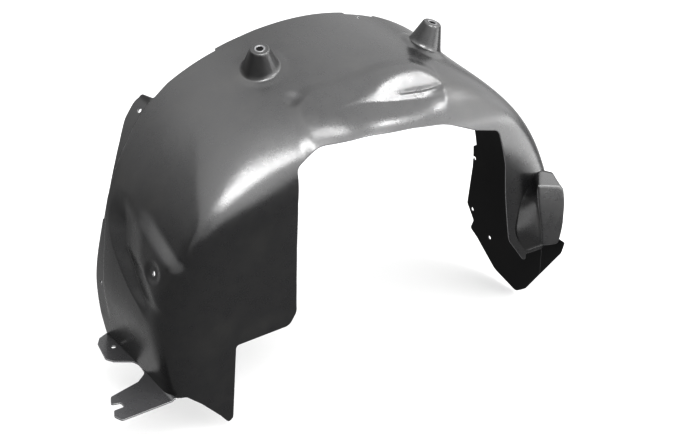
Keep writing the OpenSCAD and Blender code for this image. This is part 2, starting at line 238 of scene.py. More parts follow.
def P(q, t):
    q, t = np.broadcast_arrays(np.asarray(q, float), np.asarray(t, float))
    y, h = base_yh(q, t)
    p = place(q, y, h + extra(q, y))
    for c in CONES:
        rho = np.linalg.norm(np.cross(p - c["foot"], c["dir"]), axis=-1)
        up = (p[..., 2] > 200)[..., None]
        p = p + np.where(up, c["dir"] * (c["skirt"] * (1 - smooth01((rho - 27) / 17)))[..., None], 0)
    return p


def surf(Pf, q, t, eq, et):
    p = Pf(q, t)
    pq = (Pf(q + eq, t) - Pf(q - eq, t)) / (2 * eq)
    pt = (Pf(q, t + et) - Pf(q, t - et)) / (2 * et)
    n = np.cross(pq, pt)
    n /= np.maximum(np.linalg.norm(n, axis=-1, keepdims=True), 1e-9)
    return p, pq, pt, n


# ------------------------------------------------------------------ outlines
def rounded(poly):
    pts = [np.array(p[:2], float) for p in poly]
    out = []
    n = len(pts)
    for i in range(n):
        c, r = pts[i], poly[i][2]
        if r <= 0:
            out.append(c)
            continue
        u, v = unit(pts[i - 1] - c), unit(pts[(i + 1) % n] - c)
        a = math.acos(max(-0.999, min(0.999, float(u @ v)))) / 2
        if a > math.radians(88.5):
            out.append(c)
            continue
        reach = min(r / math.tan(a), 0.49 * np.linalg.norm(pts[i - 1] - c), 0.49 * np.linalg.norm(pts[(i + 1) % n] - c))
        r = reach * math.tan(a)
        m = c + unit(u + v) * r / math.sin(a)
        s, e = c + u * reach - m, c + v * reach - m
        w = math.pi - 2 * a
        g = np.sign(s[0] * e[1] - s[1] * e[0])
        k = max(4, int(math.ceil(w / math.radians(9))))
        for m2 in range(k + 1):
            b = g * w * m2 / k
            out.append(m + np.array([s[0] * math.cos(b) - s[1] * math.sin(b), s[0] * math.sin(b) + s[1] * math.cos(b)]))
    return np.array(out)


def poly_sdf(x, y, poly):
    """Signed distance to a closed polygon, negative inside."""
    best = np.full(x.shape, 1e18)
    inside = np.zeros(x.shape, bool)
    a = poly
    b = np.roll(poly, -1, 0)
    for (ax, ay), (bx, by) in zip(a, b):
        ex, ey = bx - ax, by - ay
        l2 = ex * ex + ey * ey
        if l2 < 1e-12:
            continue
        s = np.clip(((x - ax) * ex + (y - ay) * ey) / l2, 0, 1)
        dx, dy = x - ax - s * ex, y - ay - s * ey
        best = np.minimum(best, dx * dx + dy * dy)
        cross = (ay > y) != (by > y)
        if abs(by - ay) > 1e-12:
            inside ^= cross & (x < (bx - ax) * (y - ay) / (by - ay) + ax)
    d = np.sqrt(best)
    return np.where(inside, -d, d)


R_OPENING, R_LEG, R_EAR, R_NOTCH, R_TABS = [rounded(p) for p in (OPENING, SHORT_LEG, EAR, NOTCH, TABS)]
POCKET_MOUTH = rounded([[304,88,5],[330,78,5],[336,66,6],[339,46,8],[339,0,8],[334,-22,5],[306,-29,5],[284,20,8],[288,60,8]])
LIP = np.array([[-400.0, -47], [-86, -47], [-86, -400], [-400, -400]])


def smin(a, b, k):
    h = np.maximum(k - np.abs(a - b), 0) / k
    return np.minimum(a, b) - h * h * k / 4


def axis_dist(p, at, direction):
    return np.linalg.norm(np.cross(p - np.asarray(at, float), direction), axis=-1)


HOLES_X = [(-335, -47, 104), (-354, 100, 15), (352, 104, 15), (352, 104, -86), (352, 53, -118)]


def radial(q):
    return np.array([math.cos(math.radians(q)), 0, math.sin(math.radians(q))])


def tangential(q):
    return np.array([math.sin(math.radians(q)), 0, -math.cos(math.radians(q))])


EAR_HOLE = (12 * tangential(EAR_Q) + 360 * radial(EAR_Q) + np.array([0, 148, 0]), radial(EAR_Q))
TOP_HOLE = (355 * radial(72) + np.array([0, 101, 0]), radial(72))


def inside_sheet(q, t):
    """About how far a place on the surface is inside the trimmed sheet, in mm: zero on its edge."""
    q, t = np.broadcast_arrays(np.asarray(q, float), np.asarray(t, float))
    p = P(q, t)
    pt = (P(q, t + 0.01) - P(q, t - 0.01)) / 0.02
    x, y, z = p[..., 0], p[..., 1], p[..., 2]
    f = t * np.linalg.norm(pt, axis=-1)
    ear = np.radians(EAR_Q - q)
    rho = np.hypot(x, z)
    f = np.where((np.abs(EAR_Q - q) < 48) & (rho > 290), smin(f, poly_sdf(rho * np.sin(ear), y, R_EAR), 2.5), f)
    f = np.where((q > 50) & (q < 90) & (y > 60), smin(f, poly_sdf((q - 70.85) * 6.23, y, R_NOTCH), 3), f)
    f = smin(f, poly_sdf(x, z, R_OPENING), 3)
    leg = x > 296
    f = np.where(leg, smin(f, poly_sdf(y, z, R_LEG), 3), f)
    f = np.where(leg & (z < -30), np.minimum(f, poly_sdf(y, z, LIP)), f)
    f = np.where(leg | ((x > 240) & (y < -80)), np.minimum(f, np.where(y < -96, poly_sdf(x, z, POCKET_MOUTH), 99)), f)
    for h in HOLES_X:
        near = np.abs(x - h[0]) < 22
        f = np.where(near, np.minimum(f, np.hypot(y - h[1], z - h[2]) - HOLE_R), f)
    for at, direction in (EAR_HOLE, TOP_HOLE):
        near = np.linalg.norm(p - at, axis=-1) < 40
        f = np.where(near, np.minimum(f, axis_dist(p, at, direction) - HOLE_R), f)
    return f


# ------------------------------------------------------------------ mesh maker
class Maker:
    """Gathers the points and faces of one piece."""

    def __init__(self):
        self.v, self.f, self.n, self.inside, self.rim = [], [], 0, [], []

    def add(self, pts, inside=0.0, rim=0.0):
        pts = np.asarray(pts, float).reshape(-1, 3)
        start = self.n
        self.v.append(pts)
        self.inside.append(np.full(len(pts), inside))
        self.rim.append(np.full(len(pts), rim))
        self.n += len(pts)
        return np.arange(start, start + len(pts))

    def strip(self, a, b, closed=True, flip=False):
        a, b = np.asarray(a), np.asarray(b)
        n = len(a)
        for i in range(n if closed else n - 1):
            k = (i + 1) % n
            quad = (a[i], a[k], b[k], b[i])
            self.f.append(quad[::-1] if flip else quad)

    def tris(self, t, flip=False):
        self.f.extend([tuple(x[::-1]) if flip else tuple(x) for x in t])

    def build(self, name):
        v = (np.concatenate(self.v) - TOP_A) / 1000.0
        me = bpy.data.meshes.new(name)
        me.from_pydata(v.tolist(), [], [tuple(int(i) for i in f) for f in self.f])
        for mark in ("inside", "rim"):
            at = me.attributes.new(mark, "FLOAT", "POINT")
            at.data.foreach_set("value", np.concatenate(getattr(self, mark)).astype(np.float32))
        me.validate()
        me.update()
        me.polygons.foreach_set("use_smooth", [True] * len(me.polygons))
        ob = bpy.data.objects.new(name, me)
        bpy.context.scene.collection.objects.link(ob)
        return ob


def contours(F, us, vs):
    """Closed lines where F crosses zero on a grid, as lists of (u, v)."""
    ins = F > 0
    mixed = ins[:-1, :-1].astype(int) + ins[1:, :-1] + ins[1:, 1:] + ins[:-1, 1:]
    cells = np.argwhere((mixed > 0) & (mixed < 4))
    link = {}
    for i, j in cells:
        i, j = int(i), int(j)
        a, b, c, d = ins[i, j], ins[i + 1, j], ins[i + 1, j + 1], ins[i, j + 1]
        cut = []
        if a != b: cut.append((0, i, j))
        if b != c: cut.append((1, i + 1, j))
        if c != d: cut.append((0, i, j + 1))
        if d != a: cut.append((1, i, j))
        if len(cut) == 2:
            pairs = [(cut[0], cut[1])]
        else:
            mid = F[i, j] + F[i + 1, j] + F[i + 1, j + 1] + F[i, j + 1] > 0
            pairs = [(cut[0], cut[1]), (cut[2], cut[3])] if mid != a else [(cut[0], cut[3]), (cut[1], cut[2])]
        for x, y in pairs:
            link.setdefault(x, []).append(y)
            link.setdefault(y, []).append(x)

    def point(e):
        k, i, j = e
        i2, j2 = (i + 1, j) if k == 0 else (i, j + 1)
        f0, f1 = F[i, j], F[i2, j2]
        s = f0 / (f0 - f1)
        return (us[i] + s * (us[i2] - us[i]), vs[j] + s * (vs[j2] - vs[j]))
    loops, seen = [], set()
    for start in link:
        if start in seen:
            continue
        loop, cur, prev = [start], start, None
        seen.add(start)
        while True:
            nxt = [x for x in link[cur] if x != prev and x not in seen]
            if not nxt:
                break
            prev, cur = cur, nxt[0]
            seen.add(cur)
            loop.append(cur)
        if len(loop) > 5:
            loops.append(np.array([point(e) for e in loop]))
    return loops


def metric_step(Pf, u, v, eu, ev, vec):
    """(du, dv) that moves a surface point by vec, projected on the surface."""
    _, pu, pv, _ = surf(Pf, u, v, eu, ev)
    a, b, c = (pu * pu).sum(-1), (pu * pv).sum(-1), (pv * pv).sum(-1)
    x, y = (pu * vec).sum(-1), (pv * vec).sum(-1)
    det = np.maximum(a * c - b * b, 1e-9)
    return (c * x - b * y) / det, (a * y - b * x) / det


def to_zero(Pf, ff, u, v, eu, ev, rounds=3):
    """Moves points the short way onto the line where ff is zero."""
    for _ in range(rounds):
        f0 = ff(u, v)
        gu = (ff(u + eu, v) - ff(u - eu, v)) / (2 * eu)
        gv = (ff(u, v + ev) - ff(u, v - ev)) / (2 * ev)
        _, pu, pv, _ = surf(Pf, u, v, eu, ev)
        a, b, c = (pu * pu).sum(-1), (pu * pv).sum(-1), (pv * pv).sum(-1)
        det = np.maximum(a * c - b * b, 1e-9)
        du, dv = (c * gu - b * gv) / det, (a * gv - b * gu) / det
        s = np.clip(-f0 / np.maximum(gu * du + gv * dv, 1e-6), -6, 6)
        u, v = u + s * du, v + s * dv
    return u, v


def resample(Pf, u, v, spacing):
    p = Pf(u, v)
    d = np.linalg.norm(np.roll(p, -1, 0) - p, axis=1)
    s = np.concatenate([[0], np.cumsum(d)])
    n = max(12, int(round(s[-1] / spacing)))
    x = np.linspace(0, s[-1], n, endpoint=False)
    return np.interp(x, s, np.append(u, u[0])), np.interp(x, s, np.append(v, v[0])), s[-1]


def shell(mk, Pf, ff, us, vs, eu, ev, step, thick=SHEET_T, rim=0.9, tread=1.7, spacing=1.6, sites=(),
          fine=None):
    """A trimmed sheet of even thickness with rounded edges. sites are (outer loop, inner loop) pairs of ready
    points where something else takes over. Returns the vertex numbers of each site's outer and inner loop."""
    U, V = np.meshgrid(us, vs, indexing="ij")
    F = ff(U, V)
    F[0, :] = F[-1, :] = F[:, 0] = F[:, -1] = -1
    loops = []
    for lp in contours(F, us, vs):
        u, v = to_zero(Pf, ff, lp[:, 0], lp[:, 1], eu, ev)
        _, _, length = resample(Pf, u, v, spacing)
        if length < 8:
            continue
        u, v, _ = resample(Pf, u, v, min(spacing, length / 24))
        u, v = to_zero(Pf, ff, u, v, eu, ev, 2)
        loops.append((u, v))
    rows_out, rows_in = [], []
    r = rim
    ang = [math.radians(x) for x in (0, 30, 60, 90)]
    prof = [(tread, 0.0)] + [(r - r * math.sin(x), r - r * math.cos(x)) for x in ang]
    prof += [(r - r * math.sin(x), thick - r + r * math.cos(x)) for x in ang[::-1]] + [(tread, thick)]
    for u, v in loops:
        p, _, _, n = surf(Pf, u, v, eu, ev)
        tan = np.roll(p, -1, 0) - np.roll(p, 1, 0)
        tan /= np.maximum(np.linalg.norm(tan, axis=1, keepdims=True), 1e-9)
        inw = np.cross(n, tan)
        du, dv = metric_step(Pf, u, v, eu, ev, inw)
        g = ff(u + du * 0.6, v + dv * 0.6) - ff(u - du * 0.6, v - dv * 0.6)
        side = 1.0 if (g > 0).mean() > 0.5 else -1.0
        du, dv = du * side, dv * side
        ids = []
        for a, b in prof:
            uu, vv = u + du * a, v + dv * a
            pp, _, _, nn = surf(Pf, uu, vv, eu, ev)
            # Points on the rounded edge carry the rim mark, which the material paints lighter: a painted highlight
            # along the cut edges.
            ids.append(mk.add(pp - nn * b, float(b > 0.6 * thick), float(a < 0.95 * rim)))
        for a, b in zip(ids[:-1], ids[1:]):
            mk.strip(a, b, True, flip=side > 0)
        rows_out.append((u + du * tread, v + dv * tread, ids[0]))
        rows_in.append((u + du * tread, v + dv * tread, ids[-1]))
    cut_lines = [rows_out, rows_in]
    base_u = np.arange(us[0], us[-1], step[0])
    base_v = np.arange(vs[0], vs[-1], step[1])
    U, V = np.meshgrid(base_u, base_v, indexing="ij")
    U = U + (np.arange(len(base_v)) % 2)[None, :] * step[0] * 0.5
    I = np.arange(len(base_u))[:, None] + 0 * V.astype(int)
    J = np.arange(len(base_v))[None, :] + 0 * I
    u0, v0, I0, J0 = U.ravel(), V.ravel(), I.ravel(), J.ravel()

    def quick(u, v):
        x = np.clip((u - us[0]) / (us[1] - us[0]), 0, len(us) - 1.001)
        y = np.clip((v - vs[0]) / (vs[1] - vs[0]), 0, len(vs) - 1.001)
        i, j = x.astype(int), y.astype(int)
        a, b = x - i, y - j
        return (F[i, j] * (1 - a) * (1 - b) + F[i + 1, j] * a * (1 - b)
                + F[i, j + 1] * (1 - a) * b + F[i + 1, j + 1] * a * b)
    keep = quick(u0, v0) > tread + 1.3
    u0, v0, I0, J0 = u0[keep], v0[keep], I0[keep], J0[keep]
    masks = fine(u0, v0, I0, J0) if fine is not None else [np.ones(len(u0), bool)] * 2
    found = []
    for which in (0, 1):
        u, v = u0[masks[which]], v0[masks[which]]
        near = quick(u, v) < 8
        ok = np.ones(len(u), bool)
        ok[near] = ff(u[near], v[near]) > tread + 1.2
        u, v = u[ok], v[ok]
        site_ids = []
        lines = list(cut_lines[which])
        for s in sites:
            su, sv, sp, rr, centre, direction = s[which]
            p = Pf(u, v)
            far = (axis_dist(p, centre, direction) > rr + 1.4) | (np.linalg.norm(p - centre, axis=1) > rr * 2)
            u, v = u[far], v[far]
            ids = mk.add(sp)
            site_ids.append(ids)
            lines.append((su, sv, ids))
        found.append(site_ids)
        p = Pf(u, v)
        if which == 1:
            p, _, _, n = surf(Pf, u, v, eu, ev)
            p = p - n * thick
        grid_ids = mk.add(p, float(which))
        ku, kv = 1.0 / step[0], 1.0 / step[1]
        coords, edges, gid = [], [], []
        for a, b, ids in lines:
            base = len(coords)
            coords += [Vector((x * ku, y * kv)) for x, y in zip(a, b)]
            gid += list(ids)
            m = len(ids)
            edges += [(base + i, base + (i + 1) % m) for i in range(m)]
        coords += [Vector((x * ku, y * kv)) for x, y in zip(u, v)]
        gid += list(grid_ids)
        gid = np.array(gid)
        vo, eo, fo, ov, oe, of = delaunay_2d_cdt(coords, edges, [], 0, 1e-7, True)
        back = [o[0] if len(o) else -1 for o in ov]
        if min(back) < 0:
            print("extra points in the triangulation:", back.count(-1))
        walls = {(min(a, b), max(a, b)) for a, b in edges}
        tri = [t for t in ([back[i] for i in t3] for t3 in fo) if len(t) == 3 and min(t) >= 0]
        # patches of triangles between the outlines, kept where they lie inside the sheet
        parent = list(range(len(tri)))

        def root(x):
            while parent[x] != x:
                parent[x] = parent[parent[x]]
                x = parent[x]
            return x
        owner = {}
        for k, t in enumerate(tri):
            for a, b in ((t[0], t[1]), (t[1], t[2]), (t[2], t[0])):
                e = (a, b) if a < b else (b, a)
                if e in walls:
                    continue
                if e in owner:
                    parent[root(k)] = root(owner[e])
                else:
                    owner[e] = k
        group = np.array([root(k) for k in range(len(tri))])
        ta = np.array(tri)
        xy = np.array([(c.x, c.y) for c in coords])
        cen = xy[ta].mean(1)
        ar = np.abs(np.cross(xy[ta[:, 1]] - xy[ta[:, 0]], xy[ta[:, 2]] - xy[ta[:, 0]]))
        val = np.where(quick(cen[:, 0] / ku, cen[:, 1] / kv) > tread, 1.0, -1.0)
        pc = Pf(cen[:, 0] / ku, cen[:, 1] / kv) if sites else None
        for s in sites:
            val = np.where(axis_dist(pc, s[which][4], s[which][5]) < s[which][3] - 0.5, np.where(np.linalg.norm(pc - s[which][4], axis=1) < 90, -1.0, val), val)
        score = np.bincount(group, weights=ar * val, minlength=len(tri))
        keep_t = score[group] > 0
        for ids in gid[ta[keep_t]]:
            mk.f.append(tuple(ids) if which == 0 else tuple(ids[::-1]))
    return found


# ------------------------------------------------------------------ the sheet
def project(q, t, foot, e1, e2, x, y, rounds=8):
    """Stations whose surface points sit at (x, y) in the plane across a cone's axis."""
    for _ in range(rounds):
        p, pq, pt, _ = surf(P, q, t, 0.05, 0.005)
        rx, ry = x - (p - foot) @ e1, y - (p - foot) @ e2
        a, b, c, d = pq @ e1, pt @ e1, pq @ e2, pt @ e2
        det = a * d - b * c
        q = q + np.clip((d * rx - b * ry) / det, -4, 4)
        t = t + np.clip((a * ry - c * rx) / det, -0.5, 0.5)
    return q, t


def cone_site(mk, c, n_az=120, ring=41.0):
    e1 = unit(np.cross(c["dir"], [0, 1, 0]))
    e2 = np.cross(c["dir"], e1)
    foot, d, h = c["foot"], c["dir"], c["h"]
    q0 = math.degrees(math.atan2(foot[2], foot[0]))
    gt = np.linspace(0.2, 5, 200)
    pp = P(np.full(200, q0), gt)
    t0 = gt[np.argmin(np.linalg.norm(np.cross(pp - foot, d), axis=1))]
    az = np.linspace(0, 2 * math.pi, n_az, endpoint=False)
    out = []
    for which in (0, 1):
        q, t = project(np.full(n_az, q0), np.full(n_az, t0), foot, e1, e2, 0 * az, 0 * az)
        for k in (0.25, 0.5, 0.75, 1.0):
            q, t = project(q, t, foot, e1, e2, ring * k * np.cos(az), ring * k * np.sin(az), 4)
        p, _, _, n = surf(P, q, t, 0.05, 0.005)
        if which:
            p = p - n * SHEET_T
        out.append((q, t, p, ring, foot, d))
    return out, (e1, e2, az, q0, t0)


def smax(a, b, k):
    return -smin(-a, -b, k)


def cone_body(mk, c, basis, outer_ids, inner_ids, ring=41.0):
    e1, e2, az, q0, t0 = basis
    foot, d, h = c["foot"], c["dir"], c["h"]
    n_az = len(az)
    k = (BASE_R - TOP_R) / h

    def point(rho, z):
        return foot + np.outer(rho * np.cos(az), e1) + np.outer(rho * np.sin(az), e2) + np.outer(z, d)
    # outer skin, from the ring inwards to the bore's lip
    radii = [39.5, 38, 36.5, 35, 33.8, 32.6, 31.5, 30.6, 29.8, 29.1, 28.5, 27.9, 27.3, 26.7, 26, 25.2, 24.2, 23, 21.5, 20, 18.5, 17, 15.8, 15.2, 14.9, 14.6, 14.3, 14.0, 13.7, 13.3, 12.8, 12, 10.5, 9.3, 8.7, 8.2, 7.7, 7.2, 6.7, 6.2, 5.7]
    prev = outer_ids
    qq, tt = np.full(n_az, q0), np.full(n_az, t0)
    last = {}
    for rho in radii[::-1]:
        qq, tt = project(qq, tt, foot, e1, e2, rho * np.cos(az), rho * np.sin(az), 5)
        last[rho] = ((P(qq, tt) - foot) @ d)
    for rho in radii:
        zc = (BASE_R - rho) / k
        z = smax(last[rho], np.full(n_az, zc), 6.5)
        z = smin(z, np.full(n_az, h), 3.4) + 0.9 * float(bump(np.array(rho - 7.0), 2.0))
        # Rings within 8 mm of the axis carry the rim mark: a painted highlight round the bore.
        ids = mk.add(point(rho, z), 0.0, float(rho < 8))
        mk.strip(prev, ids, True, flip=False)
        prev = ids
    # the bore, with both lips rounded
    lip = 0.8
    prof = [(BORE_R + lip - lip * math.sin(a), h - lip + lip * math.cos(a)) for a in np.radians([0, 30, 60, 90])]
    prof += [(BORE_R + lip - lip * math.sin(a), h - SHEET_T + lip - lip * math.cos(a)) for a in np.radians([90, 60, 30, 0])]
    for rho, z in prof:
        ids = mk.add(point(rho, np.full(n_az, z)))
        mk.strip(prev, ids, True, flip=False)
        prev = ids
    # inner skin, back down to the sheet's underside
    wall = SHEET_T * math.sqrt(1 + k * k)
    inner = [7.5, 9, 10.2, 10.9, 11.4, 11.9, 12.6, 14, 16, 18, 20, 21.5, 23, 24, 25, 26, 27, 28, 29, 30.2, 31.5, 33, 35, 37, 39]
    qq, tt = np.full(n_az, q0), np.full(n_az, t0)
    low = {}
    for rho in inner:
        qq, tt = project(qq, tt, foot, e1, e2, rho * np.cos(az), rho * np.sin(az), 5)
        p, _, _, n = surf(P, qq, tt, 0.05, 0.005)
        # the underside: the outer surface dropped along the cone's axis
        low[rho] = ((p - foot) @ d) - SHEET_T / np.maximum(n @ d, 0.5)
    for rho in inner:
        zc = (BASE_R - rho) / k - wall / k * 1.0
        z = smax(low[rho], np.full(n_az, zc), 8)
        z = smin(z, np.full(n_az, h - SHEET_T), 2)
        ids = mk.add(point(rho, z))
        mk.strip(prev, ids, True, flip=False)
        prev = ids
    mk.strip(prev, inner_ids, True, flip=False)


def thin_out(u, v, I, J):
    """Which points of the fine grid each face keeps: fewer where it is smooth or the stations crowd together."""
    du, dv = 0.4, 0.035
    _, pq, pt, n0 = surf(P, u, v, du, dv)
    n1, n2 = surf(P, u + du, v, du, dv)[3], surf(P, u - du, v, du, dv)[3]
    n3, n4 = surf(P, u, v + dv, du, dv)[3], surf(P, u, v - dv, du, dv)[3]
    lq, lt = np.linalg.norm(pq, axis=1), np.linalg.norm(pt, axis=1)
    bend = np.maximum(np.linalg.norm(n1 - n2, axis=1) / np.maximum(lq * 2 * du, 0.2),
                      np.linalg.norm(n3 - n4, axis=1) / np.maximum(lt * 2 * dv, 0.2))
    masks = []
    for top in (5.0, 8.5):
        want = np.clip(0.105 / np.maximum(bend, 1e-4), 2.3, top)
        a = np.clip(np.floor(np.log2(np.maximum(want / np.maximum(lq * STEP[0], 0.05), 1))).astype(int), 0, 5)
        b = np.clip(np.floor(np.log2(np.maximum(want / np.maximum(lt * STEP[1], 0.05), 1))).astype(int), 0, 3)
        masks.append((I % (2 ** a) == 0) & (J % (2 ** b) == 0))
    return masks


STEP = (0.25, 1 / 28)
mk = Maker()
sites, bases = [], []
for c in CONES:
    site, basis = cone_site(mk, c)
    sites.append(site)
    bases.append(basis)
grid_q = np.arange(-33, 208, 0.4)
grid_t = np.arange(-0.3, 8.0, 1 / 22)
found = shell(mk, P, inside_sheet, grid_q, grid_t, 0.05, 0.005, STEP, sites=sites, fine=thin_out)
for k, c in enumerate(CONES):
    cone_body(mk, c, bases[k], found[0][k], found[1][k])
liner = mk.build("liner_skin")

# ------------------------------------------------------------------ foot tabs
FOLD_R = 3.0


def leg_x(y):
    return -335.0 + 0 * y


def P_tab(u, v):
    u, v = np.broadcast_arrays(np.asarray(u, float), np.asarray(v, float))
    dx = np.clip(FOLD_R - (leg_x(v) - u), 0, FOLD_R * 0.985)
    z = -92.0 + FOLD_R - np.sqrt(FOLD_R ** 2 - dx ** 2)
    return np.stack([-u, v, z], -1) * np.array([-1.0, 1, 1])


def inside_tab(u, v):
    u, v = np.broadcast_arrays(np.asarray(u, float), np.asarray(v, float))
    f = -poly_sdf(u, v, R_TABS)
    return np.minimum(f, np.hypot(u + 350, v - 80) - HOLE_R)


mk2 = Maker()
shell(mk2, lambda u, v: P_tab(u, v), inside_tab, np.arange(-430, -329, 0.9), np.arange(-96, 128, 0.9), 0.05, 0.05,
      (2.2, 2.2), tread=1.5, rim=0.85, spacing=1.3)
# Every tab point carries at least 0.4 of the rim mark: painted light that makes the whole tabs lighter.
mk2.rim = [np.maximum(r, 0.4) for r in mk2.rim]
tabs = mk2.build("foot_tabs")

# ------------------------------------------------------------------ pocket and leg plate
def pocket_ring(s, grow):
    """One ring of the pocket: s goes from its front face to the wall, grow pushes the outline outwards."""
    f, b = np.array(POCKET_F, float), np.array(POCKET_B, float)
    ring = f + (b - f) * s
    c = ring.mean(0)
    poly = [[p[0], p[1], r] for p, r in zip(ring, [12, 9, 9, 16, 16, 8, 8, 20, 20])]
    pts = []
    n = len(poly)
    for i in range(n):
        a0 = np.array(poly[i - 1][:2])
        a1 = np.array(poly[i][:2])
        a2 = np.array(poly[(i + 1) % n][:2])
        u, v = unit(a0 - a1), unit(a2 - a1)
        r = poly[i][2]
        reach = min(r, 0.42 * np.linalg.norm(a0 - a1), 0.42 * np.linalg.norm(a2 - a1))
        for k in range(9):
            w = k / 8.0
            pts.append(((1 - w) ** 2) * (a1 + u * reach) + 2 * w * (1 - w) * a1 + w * w * (a1 + v * reach))
        nxt = a2 - a1
        far = np.linalg.norm(nxt)
        reach2 = min(poly[(i + 1) % n][2], 0.42 * far, 0.42 * np.linalg.norm(np.array(poly[(i + 2) % n][:2]) - a2))
        e0, e1_ = a1 + v * reach, a2 - v * reach2
        for k in range(1, 6):
            pts.append(e0 + (e1_ - e0) * k / 6.0)
    pts = np.array(pts)
    tan = np.roll(pts, -1, 0) - np.roll(pts, 1, 0)
    nrm = np.stack([tan[:, 1], -tan[:, 0]], 1)
    nrm /= np.linalg.norm(nrm, axis=1, keepdims=True)
    if ((pts - c) * nrm).sum(1).mean() < 0:
        nrm = -nrm
    return pts + nrm * grow


def ring3(pts, y):
    return np.stack([pts[:, 0], np.full(len(pts), y) if np.isscalar(y) else y, pts[:, 1]], 1)


mk3 = Maker()
FY, BY = -136.0, -106.0
ER = 3.2
rows = []
front = pocket_ring(0, -ER)
cen = front.mean(0)
for k in (0.04, 0.25, 0.5, 0.75, 0.92):
    rows.append(ring3(cen + (front - cen) * k, FY))
for a in np.radians([0, 18, 36, 54, 72, 90]):
    rows.append(ring3(pocket_ring(0, -ER + ER * math.sin(a)), FY + ER - ER * math.cos(a)))
for s in (0.12, 0.3, 0.5, 0.7, 0.85, 1.0):
    rows.append(ring3(pocket_ring(s, 0), FY + ER + (BY - FY - ER) * s))
rows.append(ring3(pocket_ring(1.0, -SHEET_T), BY))
for s in (0.85, 0.6, 0.3, 0.1):
    rows.append(ring3(pocket_ring(s, -SHEET_T), FY + ER + (BY - FY - ER) * s))
for a in np.radians([90, 60, 30, 0]):
    rows.append(ring3(pocket_ring(0, -ER - 0.2 + (ER - SHEET_T) * math.sin(a)), FY + ER - (ER - SHEET_T) * math.cos(a)))
for k in (0.8, 0.45, 0.04):
    rows.append(ring3(cen + (front - cen) * k, FY + SHEET_T))
idx = [mk3.add(r) for r in rows]
for a, b in zip(idx[:-1], idx[1:]):
    mk3.strip(a, b, True, flip=True)
mk3.f.append(tuple(int(i) for i in idx[0]))
mk3.f.append(tuple(int(i) for i in idx[-1][::-1]))
pocket = mk3.build("corner_pocket")


def P_plate(u, v):
    u, v = np.broadcast_arrays(np.asarray(u, float), np.asarray(v, float))
    return np.stack([351.88 + 0 * u, u, v], -1)


R_PLATE = rounded([[-84,-29,0],[-150,-29,0],[-150,-190,0],[-84,-190,0]])


def inside_plate(u, v):
    return smin(-poly_sdf(u, v, R_PLATE), poly_sdf(u, v, R_LEG), 2.5)


mk4 = Maker()
shell(mk4, P_plate, inside_plate, np.arange(-150, -80, 0.9), np.arange(-160, -20, 0.9), 0.05, 0.05, (3, 3),
      thick=2.26, tread=1.5, rim=0.8, spacing=1.5)
# The plate's rounded edge takes the inside mark, and so the darker, less reflective copy of the plastic, and loses the
# rim mark: painted shade along that edge.
mk4.inside = [np.maximum(i, r) for i, r in zip(mk4.inside, mk4.rim)]
mk4.rim = [np.zeros_like(r) for r in mk4.rim]
plate = mk4.build("leg_plate")

pieces = [liner, tabs, pocket, plate]
for ob in pieces:
    print(ob.name, len(ob.data.vertices), "points", sum(len(p.vertices) - 2 for p in ob.data.polygons), "triangles")

# ------------------------------------------------------------------ material
def node(tree, kind, **inputs):
    n = tree.nodes.new(kind)
    for k, v in inputs.items():
        n.inputs[k.replace("_", " ")].default_value = v
    return n


def ramp(tree, value, a, b, lo, hi):
    """lo to hi while value goes from a to b."""
    n = tree.nodes.new("ShaderNodeMapRange")
    n.interpolation_type = "SMOOTHSTEP"
    for k, v in (("From Min", a), ("From Max", b), ("To Min", lo), ("To Max", hi)):
        n.inputs[k].default_value = v
    tree.links.new(value, n.inputs["Value"])
    return n.outputs["Result"]


def add(tree, a, b, kind="ADD"):
    n = tree.nodes.new("ShaderNodeMath")
    n.operation = kind
    for s, v in zip(n.inputs, (a, b)):
        if isinstance(v, (int, float)):
            s.default_value = v
        else:
            tree.links.new(v, s)
    return n.outputs[0]


mat = bpy.data.materials.new("moulded_plastic")
mat.use_nodes = True
nt = mat.node_tree
bsdf = nt.nodes["Principled BSDF"]
bsdf.inputs["IOR"].default_value = 1.38
where = nt.nodes.new("ShaderNodeTexCoord").outputs["Object"]


def noise(scale, detail, rough=0.5):
    n = node(nt, "ShaderNodeTexNoise", Scale=scale, Detail=detail, Roughness=rough)
    nt.links.new(where, n.inputs["Vector"])
    return n.outputs["Fac"]


marks = {}
for mark in ("inside", "rim"):
    n = nt.nodes.new("ShaderNodeAttribute")
    n.attribute_name = mark
    marks[mark] = n.outputs["Fac"]
grain, cloud, smear = noise(1400, 2), noise(55, 4, 0.6), noise(9, 5, 0.62)
dust = ramp(nt, smear, 0.52, 0.74, 0.0, 1.0)
tone = nt.nodes.new("ShaderNodeMix")
tone.data_type = "RGBA"
tone.inputs["A"].default_value = (0.0036, 0.0036, 0.0038, 1)
tone.inputs["B"].default_value = (0.0052, 0.0051, 0.0050, 1)
nt.links.new(add(nt, dust, ramp(nt, cloud, 0.35, 0.75, 0.0, 0.5)), tone.inputs["Factor"])
# The rim mark mixes in a lighter colour: a painted highlight along the rounded edges, round the bores and over the
# tabs.
edge = nt.nodes.new("ShaderNodeMix")
edge.data_type = "RGBA"
edge.inputs["B"].default_value = (0.030, 0.030, 0.031, 1)
nt.links.new(tone.outputs["Result"], edge.inputs["A"])
nt.links.new(marks["rim"], edge.inputs["Factor"])
nt.links.new(edge.outputs["Result"], bsdf.inputs["Base Color"])
gloss = add(nt, ramp(nt, cloud, 0.3, 0.7, 0.262, 0.300), ramp(nt, smear, 0.45, 0.75, 0.0, 0.05))
gloss = add(nt, gloss, add(nt, marks["inside"], 0.34, "MULTIPLY"))
nt.links.new(gloss, bsdf.inputs["Roughness"])
height = add(nt, add(nt, grain, 0.00004, "MULTIPLY"), add(nt, noise(130, 3), 0.00012, "MULTIPLY"))
height = add(nt, height, add(nt, noise(22, 3), 0.0005, "MULTIPLY"))
bumps = node(nt, "ShaderNodeBump", Strength=0.8, Distance=1.0)
nt.links.new(height, bumps.inputs["Height"])
nt.links.new(bumps.outputs["Normal"], bsdf.inputs["Normal"])
